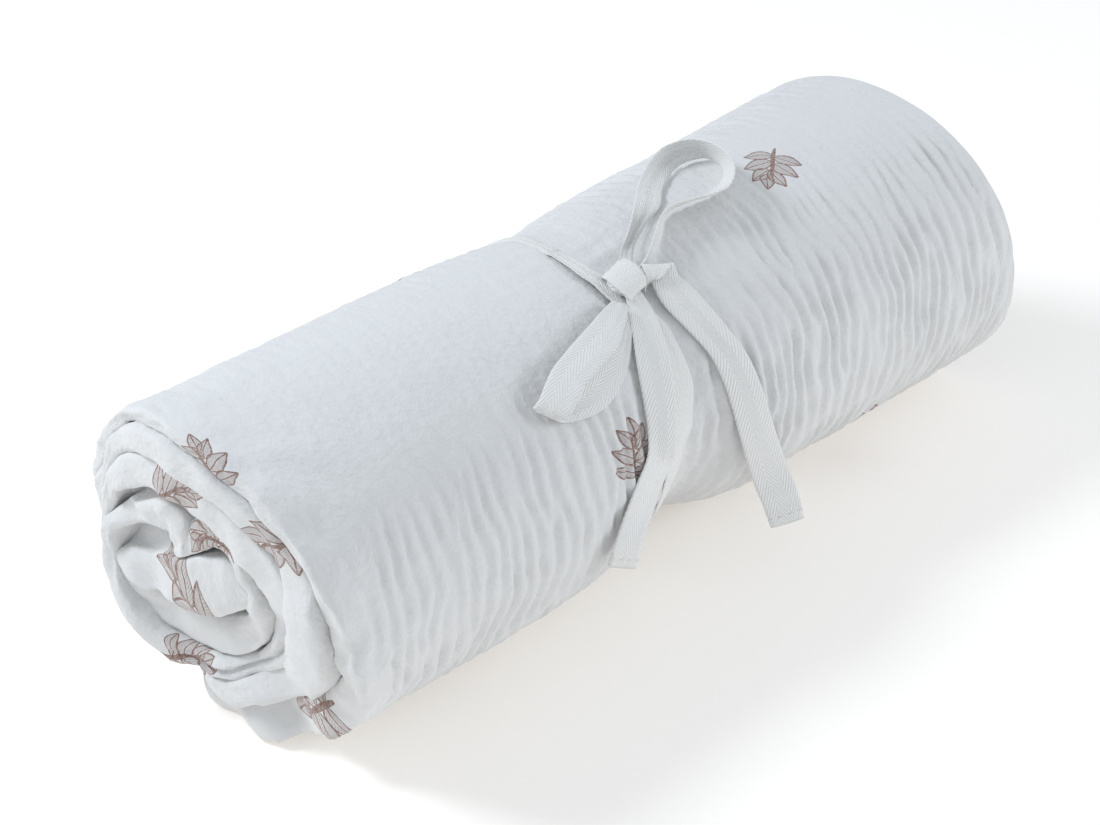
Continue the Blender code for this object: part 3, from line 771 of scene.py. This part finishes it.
# A length of tape between two edges. Where the edges come close, the tape bunches in pleats
def addLength(bm, layer, left, right, closed=False, startAt=0.0, pleated=1.0, hemmed=False):
    count, columns = len(left), bow["columns"]
    normals = tapeNormals(left, right, closed)
    lengths = [startAt]
    for k in range(1, count):
        lengths.append(lengths[-1] + ((left[k] + right[k]) / 2 - (left[k - 1] + right[k - 1]) / 2).length)
    rings, seam = [], None
    for k, length in enumerate(lengths):
        span = right[k] - left[k]
        spare = max(0.0, bow["width"] - span.length)
        depth = math.sqrt(span.length * spare) / (math.pi * bow["pleats"]) * pleated
        toEnd = lengths[-1] - length
        front, back = [], []
        for column in range(columns + 1):
            share = column / columns
            fall = math.cos(2 * math.pi * bow["pleats"] * share + bow["pleatTurn"] * length)
            lift = depth * (0.5 + 0.5 * fall) + bow["crown"] * (1 - (2 * share - 1) ** 2)
            middle = left[k] + span * share + normals[k] * lift
            half = bow["thickness"] / 2 * (bow["edge"] if column in (0, columns) else 1.0)
            if hemmed and toEnd < bow["hem"]:  # the tape's end is turned under
                half *= bow["hemThickness"]
            front.append((middle + normals[k] * half, share))
            back.append((middle - normals[k] * half, share))
        rings.append([(bm.verts.new(point + rollAxis), share) for point, share in front + back[::-1]])
        if hemmed and seam is None and toEnd < bow["hem"] * bow["seamAt"]:
            seam = [point + rollAxis + normals[k] * bow["seamHeight"] for point, share in front[1:-1]]

    def addFace(*corners):  # a corner is its ring, its number in the ring and its place along the tape
        face = bm.faces.new([rings[k][j][0] for k, j, place in corners])
        face.smooth = True
        for loop, (k, j, place) in zip(face.loops, corners):
            loop[layer].uv = (rings[k][j][1] * bow["width"], place)

    around = len(rings[0])
    for k in range(count if closed else count - 1):
        following = (k + 1) % count
        here = lengths[k]
        there = lengths[following] if following else here + lengths[1] - lengths[0]
        for j in range(around):
            i = (j + 1) % around
            addFace((k, j, here), (k, i, here), (following, i, there), (following, j, there))
    for k in () if closed else (0, count - 1):
        for j in range(columns):
            addFace(*((k, i, lengths[k]) for i in (j, j + 1, around - 2 - j, around - 1 - j)))
    return lengths[-1], seam


def knotFrame():  # its place from the roll's axis, along it, across it and up
    place = onRoll(knot["x"], knot["angle"], clothRadius(knot["x"], knot["angle"]) + knot["height"])
    up = onRoll(0, knot["angle"], 1)
    twist = math.radians(knot["turn"])
    backwards = Vector((1, 0, 0)).cross(up)
    first = Vector((1, 0, 0)) * math.cos(twist) + backwards * math.sin(twist)
    return place, first, up.cross(first), up


def addKnot(bm, layer):  # a soft core under one wrap of the tape
    place, first, second, up = knotFrame()
    wrapLength, wrapWidth, wrapHeight = (share * size for share, size in zip(knot["wrapSides"], knot["size"]))
    left, right = [], []
    for step in range(knot["wrapSteps"]):
        turned = 2 * math.pi * step / knot["wrapSteps"]
        spot = place + second * math.sin(turned) * wrapWidth + up * math.cos(turned) * wrapHeight
        half = wrapLength + knot["wrapUnder"] * knot["size"][0] * math.cos(turned)
        slant = knot["wrapSlant"] * math.sin(turned)
        left.append(spot + first * (slant - half))
        right.append(spot + first * (slant + half))
    addLength(bm, layer, left, right, closed=True, pleated=knot["wrapPleats"])
    sides = [share * size for share, size in zip(knot["coreSides"], knot["size"])]
    core = bmesh.ops.create_icosphere(bm, subdivisions=3, radius=1.0)["verts"]
    for vert in core:
        rough = 1 + knot["coreRough"] * noise.noise(vert.co * knot["coreRoughSize"])
        x, y, z = (value * side for value, side in zip(vert.co, sides))
        vert.co = rollAxis + place + (first * x + second * y + up * z) * rough
    for face in {face for vert in core for face in vert.link_faces}:
        face.smooth = True
        for loop in face.loops:
            away = loop.vert.co - rollAxis - place
            loop[layer].uv = (away.dot(first) + bow["width"] / 2, away.dot(second))


def makeBow():
    bm = bmesh.new()
    layer = bm.loops.layers.uv.new("cloth")
    total, seam = addLength(bm, layer, *bandEdges(), closed=True, pleated=bow["bandPleats"])
    seams = []
    for rows, pleated, hemmed in (
        (upperLoop, 0.2, False),
        (lowerLoop, 0.2, False),
        (centreTail, 0.3, True),
        (frontTail, 0.2, True),
    ):
        edges = tableEdge(rows, 0), tableEdge(rows, 1)
        total, seam = addLength(bm, layer, *edges, startAt=total, pleated=pleated, hemmed=hemmed)
        if hemmed:
            seams.append(seam)
    addKnot(bm, layer)
    bmesh.ops.recalc_face_normals(bm, faces=bm.faces)
    print("tape's length without the knot:", round(total, 3), "m")
    return finishMesh(bm, "bowTape"), seams


stitch = {"Spacing": 3.3 * mm, "Length": 2.3 * mm, "Thickness": 0.4 * mm}


def stitchGroup():
    tree = bpy.data.node_groups.new("stitchRow", "GeometryNodeTree")
    sockets = {}
    for name in ("Path", *stitch, "Thread"):
        kind = {"Path": "Geometry", "Thread": "Material"}.get(name, "Float")
        made = tree.interface.new_socket(name, in_out="INPUT", socket_type="NodeSocket" + kind)
        sockets[name] = made.identifier
    tree.interface.new_socket("Stitches", in_out="OUTPUT", socket_type="NodeSocketGeometry")
    given, out = tree.nodes.new("NodeGroupInput"), tree.nodes.new("NodeGroupOutput")
    curve = tree.nodes.new("GeometryNodeMeshToCurve")
    places = tree.nodes.new("GeometryNodeCurveToPoints")
    places.mode = "LENGTH"
    turned = tree.nodes.new("FunctionNodeAlignRotationToVector")
    turned.axis = "X"
    ball = tree.nodes.new("GeometryNodeMeshUVSphere")
    for name, value in (("Segments", 6), ("Rings", 4), ("Radius", 0.5)):
        ball.inputs[name].default_value = value
    size = tree.nodes.new("ShaderNodeCombineXYZ")
    shaped = tree.nodes.new("GeometryNodeTransform")
    placed = tree.nodes.new("GeometryNodeInstanceOnPoints")
    real = tree.nodes.new("GeometryNodeRealizeInstances")
    painted = tree.nodes.new("GeometryNodeSetMaterial")
    for source, output, target, socket in (
        (given, "Path", curve, "Mesh"),
        (curve, "Curve", places, "Curve"),
        (given, "Spacing", places, "Length"),
        (places, "Tangent", turned, "Vector"),
        (given, "Length", size, "X"),
        (given, "Thickness", size, "Y"),
        (given, "Thickness", size, "Z"),
        (ball, "Mesh", shaped, "Geometry"),
        (size, "Vector", shaped, "Scale"),
        (places, "Points", placed, "Points"),
        (shaped, "Geometry", placed, "Instance"),
        (turned, "Rotation", placed, "Rotation"),
        (placed, "Instances", real, "Geometry"),
        (real, "Geometry", painted, "Geometry"),
        (given, "Thread", painted, "Material"),
        (painted, "Geometry", out, "Stitches"),
    ):
        tree.links.new(source.outputs[output], target.inputs[socket])
    return tree, sockets


def makeStitches(name, paths, group, sockets, thread):
    verts, edges = [], []
    for path in paths:
        edges += [(len(verts) + k, len(verts) + k + 1) for k in range(len(path) - 1)]
        verts += path
    mesh = bpy.data.meshes.new(name)
    mesh.from_pydata(verts, edges, [])
    made = addObject(name, mesh)
    rows = made.modifiers.new("stitchRow", "NODES")
    rows.node_group = group
    for socket, value in (*stitch.items(), ("Thread", thread)):
        rows[sockets[socket]] = value
    made.update_tag()
    evaluated = made.evaluated_get(bpy.context.evaluated_depsgraph_get())
    made.data = bpy.data.meshes.new_from_object(evaluated)
    made.modifiers.clear()
    made.data.shade_smooth()
    return made


def feed(tree, value, socket):  # links an output, or sets a number or a colour
    if isinstance(value, bpy.types.NodeSocket):
        tree.links.new(value, socket)
    else:
        socket.default_value = (*value, 1) if socket.type == "RGBA" else value


def newGroup(name, vector, numbers, output):
    group = bpy.data.node_groups.new(name, "ShaderNodeTree")
    if vector:
        group.interface.new_socket(vector, in_out="INPUT", socket_type="NodeSocketVector")
    for number in numbers:
        group.interface.new_socket(number, in_out="INPUT", socket_type="NodeSocketFloat")
    group.interface.new_socket(output, in_out="OUTPUT", socket_type="NodeSocketFloat")
    return group, group.nodes.new("NodeGroupInput").outputs, group.nodes.new("NodeGroupOutput").inputs


def addGroup(tree, group, values):
    node = tree.nodes.new("ShaderNodeGroup")
    node.node_tree = group
    for name, value in values.items():
        feed(tree, value, node.inputs[name])
    return node.outputs[0]


def mathNode(tree, operation, *values, clamp=False):
    node = tree.nodes.new("ShaderNodeMath")
    node.operation = operation
    node.use_clamp = clamp
    for value, socket in zip(values, node.inputs):
        feed(tree, value, socket)
    return node.outputs[0]


def rotated(tree, x, y, turn):
    do = partial(mathNode, tree)
    times, minus = partial(do, "MULTIPLY"), partial(do, "SUBTRACT")
    cosine, sine = do("COSINE", turn), do("SINE", turn)
    turnedX = minus(times(x, cosine), times(y, sine))
    return turnedX, do("ADD", times(x, sine), times(y, cosine))


def split(tree, vector):
    node = tree.nodes.new("ShaderNodeSeparateXYZ")
    tree.links.new(vector, node.inputs[0])
    return node.outputs[0], node.outputs[1]


def noiseNode(tree, vector, scale, detail=3.0):
    node = tree.nodes.new("ShaderNodeTexNoise")
    for name, value in (("Vector", vector), ("Scale", scale), ("Detail", detail)):
        feed(tree, value, node.inputs[name])
    return node.outputs["Fac"]


def mixColor(tree, factor, first, second):
    node = tree.nodes.new("ShaderNodeMix")
    node.data_type = "RGBA"
    tree.links.new(factor, node.inputs["Factor"])
    colours = [socket for socket in node.inputs if socket.type == "RGBA"]
    for value, socket in zip((first, second), colours):
        feed(tree, value, socket)
    return [socket for socket in node.outputs if socket.type == "RGBA"][0]


def addBump(tree, surface, height, bump, under=None):  # a bump is its distance and its strength
    node = tree.nodes.new("ShaderNodeBump")
    for name, value in zip(("Distance", "Strength", "Height"), (*bump, height)):
        feed(tree, value, node.inputs[name])
    if under is not None:
        tree.links.new(under, node.inputs["Normal"])
    tree.links.new(node.outputs["Normal"], surface.inputs["Normal"])
    return node.outputs["Normal"]


def clothPlace(tree):
    uv = tree.nodes.new("ShaderNodeUVMap")
    uv.uv_map = "cloth"
    return uv.outputs["UV"]


# One leaf drawn in line: its outline, its midrib and its side veins. Sizes are in mm
leaf = {
    "line": 0.28,
    "rib": 0.8,  # its share of the line
    "bend": 0.12,
    "fullness": 0.8,  # below 1 it is widest nearer the root
    "veinsPerMm": 1.35,
    "veinSlant": 1.5,
    "veinWidth": 0.26,
    "veinStart": 0.25,
    "veinInk": 0.8,
    "shade": 0.30,
}


leafSizes = ("Root X", "Root Y", "Turn", "Length", "Width")


def leafGroup():
    group, given, out = newGroup("leafLine", None, ("X", "Y", *leafSizes, "Line"), "Ink")
    do = partial(mathNode, group)
    times, minus = partial(do, "MULTIPLY"), partial(do, "SUBTRACT")
    dx = minus(given["X"], given["Root X"])
    dy = minus(given["Y"], given["Root Y"])
    along, aside = rotated(group, dx, dy, times(do("RADIANS", given["Turn"]), -1.0))
    share = do("DIVIDE", along, given["Length"])
    bent = times(times(share, share), times(given["Length"], leaf["bend"]))
    off = do("ABSOLUTE", minus(aside, bent))
    arch = times(do("POWER", do("MAXIMUM", share, 0.0), leaf["fullness"]), math.pi)
    half = times(do("SINE", arch), given["Width"])
    within = times(do("GREATER_THAN", share, 0.0), do("LESS_THAN", share, 1.0))
    inside = times(within, do("LESS_THAN", off, half))
    rim = times(do("LESS_THAN", do("ABSOLUTE", minus(off, half)), given["Line"]), within)
    rib = times(do("LESS_THAN", off, times(given["Line"], leaf["rib"])), within)
    slant = minus(times(along, leaf["veinsPerMm"]), times(off, leaf["veinSlant"]))
    veins = times(do("LESS_THAN", do("FRACT", slant), leaf["veinWidth"]), inside)
    veins = times(veins, do("GREATER_THAN", off, times(half, leaf["veinStart"])))
    ink = do("MAXIMUM", do("MAXIMUM", rim, rib), times(veins, leaf["veinInk"]))
    group.links.new(do("MAXIMUM", ink, times(inside, leaf["shade"])), out["Ink"])
    return group


# A sprig of leaves: root x, root y, turn in degrees, length, half width, all in mm
sprig = (
    (0.0, -11.5, 84, 18.0, 0.5),
    (0.3, -7.0, 12, 10.0, 2.6),
    (0.3, -6.2, 158, 9.6, 2.5),
    (0.6, -2.8, 30, 10.8, 2.8),
    (0.6, -2.0, 144, 10.2, 2.7),
    (1.0, 1.6, 52, 9.6, 2.6),
    (1.0, 2.2, 122, 9.2, 2.5),
    (1.4, 4.4, 86, 8.4, 2.3),
)
printing = {
    "acrossPitch": 0.118,
    "alongPitch": 0.128,
    "shift": (-0.006, 0.046, 0),
    "ink": (0.19, 0.075, 0.040),
}


def sprigGroup(leafLine):  # a half-drop repeat of the sprig, each one turned its own way
    group, given, out = newGroup("sprigPrint", "Cloth", ("Across Pitch", "Along Pitch"), "Ink")
    do = partial(mathNode, group)
    times, minus = partial(do, "MULTIPLY"), partial(do, "SUBTRACT")
    shifted = group.nodes.new("ShaderNodeVectorMath")
    shifted.operation = "ADD"
    feed(group, given["Cloth"], shifted.inputs[0])
    feed(group, printing["shift"], shifted.inputs[1])
    u, v = split(group, shifted.outputs[0])
    columnPlace = do("DIVIDE", u, given["Across Pitch"])
    column = do("FLOOR", columnPlace)
    drop = times(do("MODULO", column, 2.0), 0.5)
    rowPlace = do("ADD", do("DIVIDE", v, given["Along Pitch"]), drop)
    row = do("FLOOR", rowPlace)
    fromMiddle = []  # in mm
    for place, whole, pitch in ((columnPlace, column, "Across Pitch"), (rowPlace, row, "Along Pitch")):
        share = minus(minus(place, whole), 0.5)
        fromMiddle.append(times(share, times(given[pitch], 1000.0)))
    cell = group.nodes.new("ShaderNodeCombineXYZ")
    feed(group, column, cell.inputs["X"])
    feed(group, row, cell.inputs["Y"])
    pick = group.nodes.new("ShaderNodeTexWhiteNoise")
    pick.noise_dimensions = "2D"
    feed(group, cell.outputs[0], pick.inputs["Vector"])
    x, y = rotated(group, *fromMiddle, times(pick.outputs["Value"], 2 * math.pi))
    ink = 0.0
    for sizes in sprig:
        values = {"X": x, "Y": y, "Line": leaf["line"], **dict(zip(leafSizes, sizes))}
        ink = do("MAXIMUM", ink, addGroup(group, leafLine, values))
    feed(group, ink, out["Ink"])
    return group


def threadGroup():  # the fine threads that each cloth and the sewing show close up
    group, given, out = newGroup("fineThreads", "Place", ("Scale",), "Height")
    feed(group, noiseNode(group, given["Place"], given["Scale"], 1.0), out["Height"])
    return group


# The scales are per metre, the tones are the darkest and the palest
threadFinish = {
    "shader": {"Roughness": 0.7},
    "tones": ((0.70, 0.69, 0.66), (0.84, 0.83, 0.80)),
    "threads": 2600,
    "threadBump": (0.05 * mm, 0.5),
}
gauzeFinish = {
    "shader": {"Roughness": 0.93, "Sheen Weight": 0.25, "Sheen Roughness": 0.5, "Specular IOR Level": 0.25},
    "tones": ((0.705, 0.70, 0.69), (0.745, 0.74, 0.73)),
    "toneScale": 60,
    "inkWear": (0.9, 0.35),  # how much of it wears, and how much is always there
    "inkWearScale": 1100,
    "puckerScale": (560, 400, 1),
    "puckerBump": (0.6 * mm, 0.9),
    "threads": 2600,
    "threadBump": (0.08 * mm, 0.6),
}
# Herringbone: slanting rib lines that turn at each column. Its two tones are painted shade: the darker one in
# each rib's groove, the paler one on its crest
twillFinish = {
    "shader": {"Roughness": 0.8, "Sheen Weight": 0.15, "Specular IOR Level": 0.3},
    "tones": ((0.79, 0.78, 0.755), (0.87, 0.86, 0.835)),
    "column": 4.0 * mm,
    "slant": 2.1,
    "ribPitch": 2.1 * mm,
    "ribBump": (0.20 * mm, 0.8),
    "threads": 2400,
    "threadBump": (0.06 * mm, 0.5),
}


def addThreads(tree, surface, fineThreads, place, finish, under=None):
    threads = addGroup(tree, fineThreads, {"Place": place, "Scale": finish["threads"]})
    addBump(tree, surface, threads, finish["threadBump"], under)
    return threads


def threadMaterial(fineThreads):
    made, tree, surface = newMaterial("thread", threadFinish["shader"])
    place = tree.nodes.new("ShaderNodeTexCoord").outputs["Object"]
    threads = addThreads(tree, surface, fineThreads, place, threadFinish)
    feed(tree, mixColor(tree, threads, *threadFinish["tones"]), surface.inputs["Base Color"])
    return made


def gauzeMaterial(fineThreads):
    made, tree, surface = newMaterial("gauze", gauzeFinish["shader"])
    cloth = clothPlace(tree)
    plain = mixColor(tree, noiseNode(tree, cloth, gauzeFinish["toneScale"]), *gauzeFinish["tones"])
    wear = noiseNode(tree, cloth, gauzeFinish["inkWearScale"], 2.0)
    wear = mathNode(tree, "MULTIPLY_ADD", wear, *gauzeFinish["inkWear"], clamp=True)
    pitches = {"Across Pitch": printing["acrossPitch"], "Along Pitch": printing["alongPitch"]}
    drawn = addGroup(tree, sprigGroup(leafGroup()), {"Cloth": cloth, **pitches})
    inked = mathNode(tree, "MULTIPLY", drawn, wear)
    feed(tree, mixColor(tree, inked, plain, printing["ink"]), surface.inputs["Base Color"])
    stretched = tree.nodes.new("ShaderNodeMapping")
    feed(tree, cloth, stretched.inputs["Vector"])
    feed(tree, gauzeFinish["puckerScale"], stretched.inputs["Scale"])
    puckers = noiseNode(tree, stretched.outputs[0], 1.0)
    under = addBump(tree, surface, puckers, gauzeFinish["puckerBump"])
    addThreads(tree, surface, fineThreads, cloth, gauzeFinish, under)
    return made


def twillMaterial(fineThreads):
    made, tree, surface = newMaterial("twill", twillFinish["shader"])
    do = partial(mathNode, tree)
    cloth = clothPlace(tree)
    u, v = split(tree, cloth)
    slanted = do("MULTIPLY_ADD", do("PINGPONG", u, twillFinish["column"]), twillFinish["slant"], v)
    ribHeightAndShade = do("SINE", do("MULTIPLY", slanted, 2 * math.pi / twillFinish["ribPitch"]))
    ribHeightAndShade = do("MULTIPLY_ADD", ribHeightAndShade, 0.5, 0.5)
    # painted shade: the tape's colour follows the rib height, darker in the grooves and paler on the crests
    feed(tree, mixColor(tree, ribHeightAndShade, *twillFinish["tones"]), surface.inputs["Base Color"])
    under = addBump(tree, surface, ribHeightAndShade, twillFinish["ribBump"])
    addThreads(tree, surface, fineThreads, cloth, twillFinish, under)
    return made


fineThreads = threadGroup()
blanket, blanketSeams = makeGauze()
blanket.data.materials.append(gauzeMaterial(fineThreads))
print("blanket:", len(blanket.data.polygons), "faces")
tape, tapeSeams = makeBow()
tape.data.materials.append(twillMaterial(fineThreads))
print("bow:", len(tape.data.polygons), "faces")
stitchRow, stitchSockets = stitchGroup()
thread = threadMaterial(fineThreads)
hemStitches = makeStitches("hemStitches", blanketSeams, stitchRow, stitchSockets, thread)
tailStitches = makeStitches("tailStitches", tapeSeams, stitchRow, stitchSockets, thread)
print("stitches:", len(hemStitches.data.polygons) + len(tailStitches.data.polygons), "faces")

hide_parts("blanket")
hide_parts("tie_tape")
for piece in (blanket, tape, hemStitches, tailStitches):
    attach(piece, "root")
